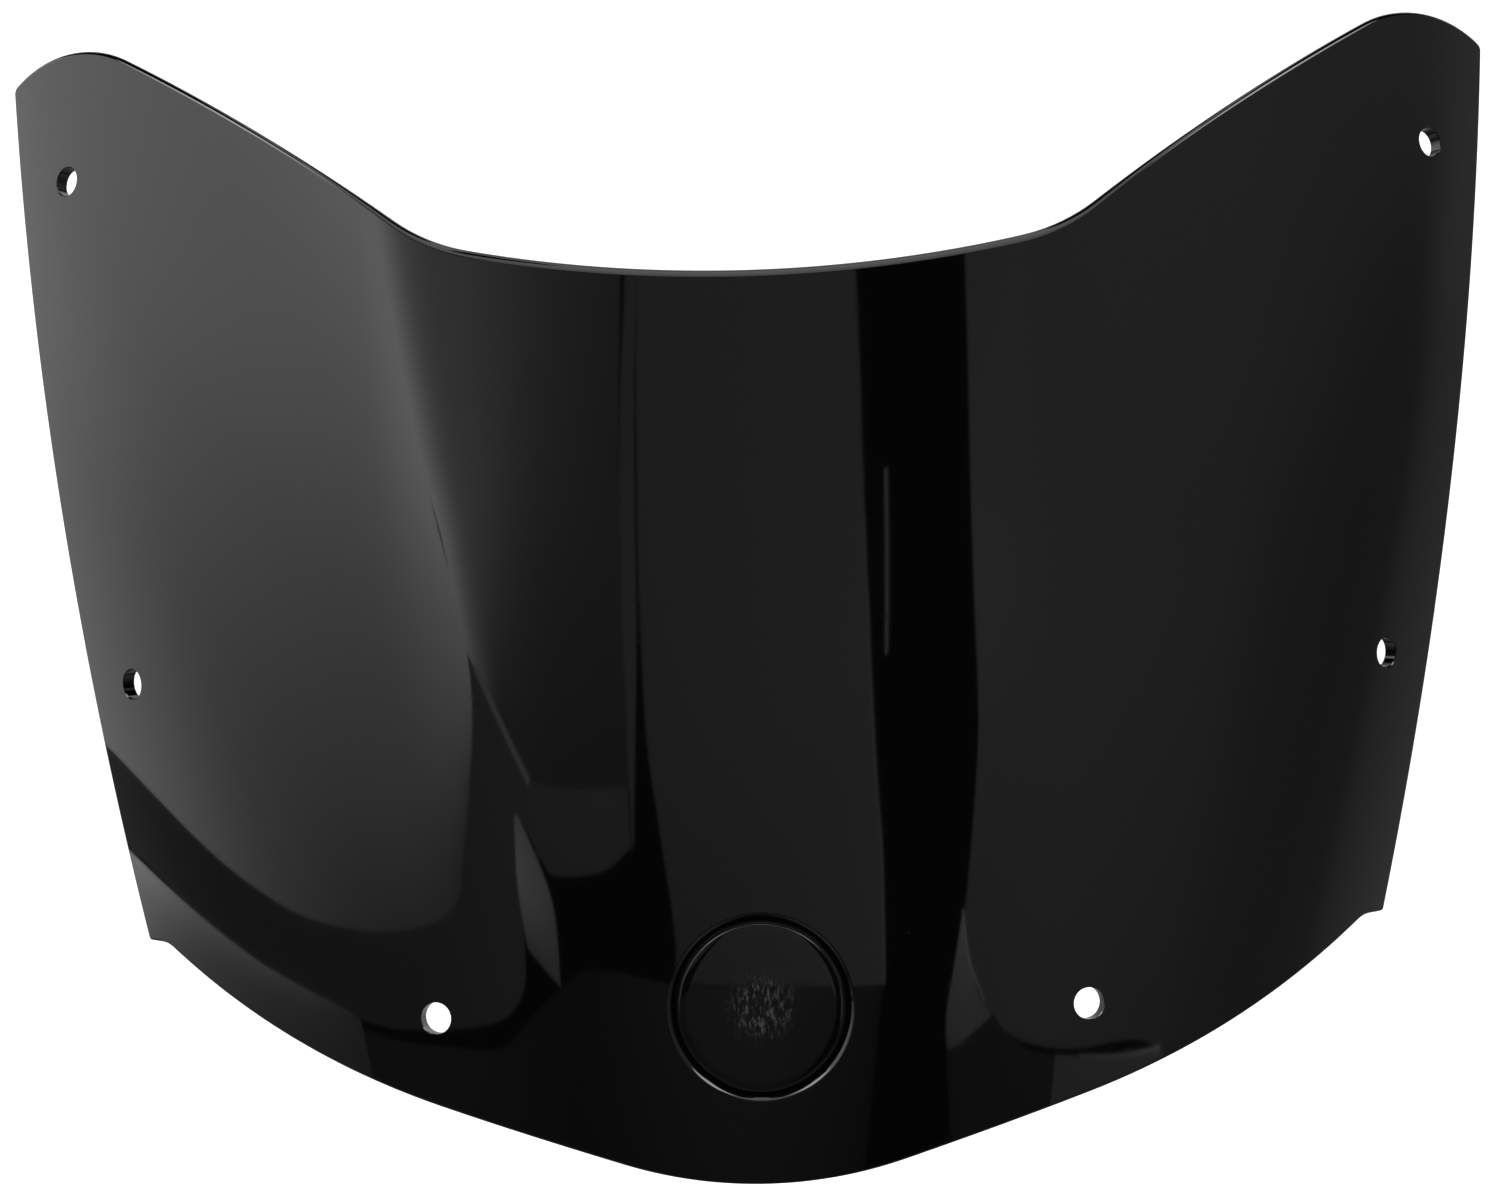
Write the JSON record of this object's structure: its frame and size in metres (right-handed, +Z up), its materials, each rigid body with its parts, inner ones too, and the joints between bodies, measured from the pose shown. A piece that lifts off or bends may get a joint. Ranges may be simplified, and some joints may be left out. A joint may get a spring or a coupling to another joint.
{
  "type": "windshield screen",
  "caption": "Gloss black motorcycle fairing screen with two raised horns, a hollow top edge, mounting holes and a round bonded badge blank at its foot.",
  "frame": {"origin": "on the outer face, on the centreline, level with the centres of the two lower mounting holes", "axes": "+Z up along the screen, +X to the right as seen from the front, +Y from the outer face back towards the rider; the screen is in the attitude it is shown in, upright at its foot and leaning back about 15 degrees at its top"},
  "size_m": [0.4898, 0.1175, 0.36],
  "materials": {
    "gloss_black_sheet": "gloss black acrylic sheet, polished both sides",
    "badge_black": "gloss black moulded badge blank, lightly scuffed",
    "adhesive_foam": "closed-cell adhesive foam"
  },
  "bodies": {
    "root": {"screen_panel": "gloss_black_sheet", "badge_disc": "badge_black", "badge_adhesive_pad": "adhesive_foam"}
  },
  "joints": []
}
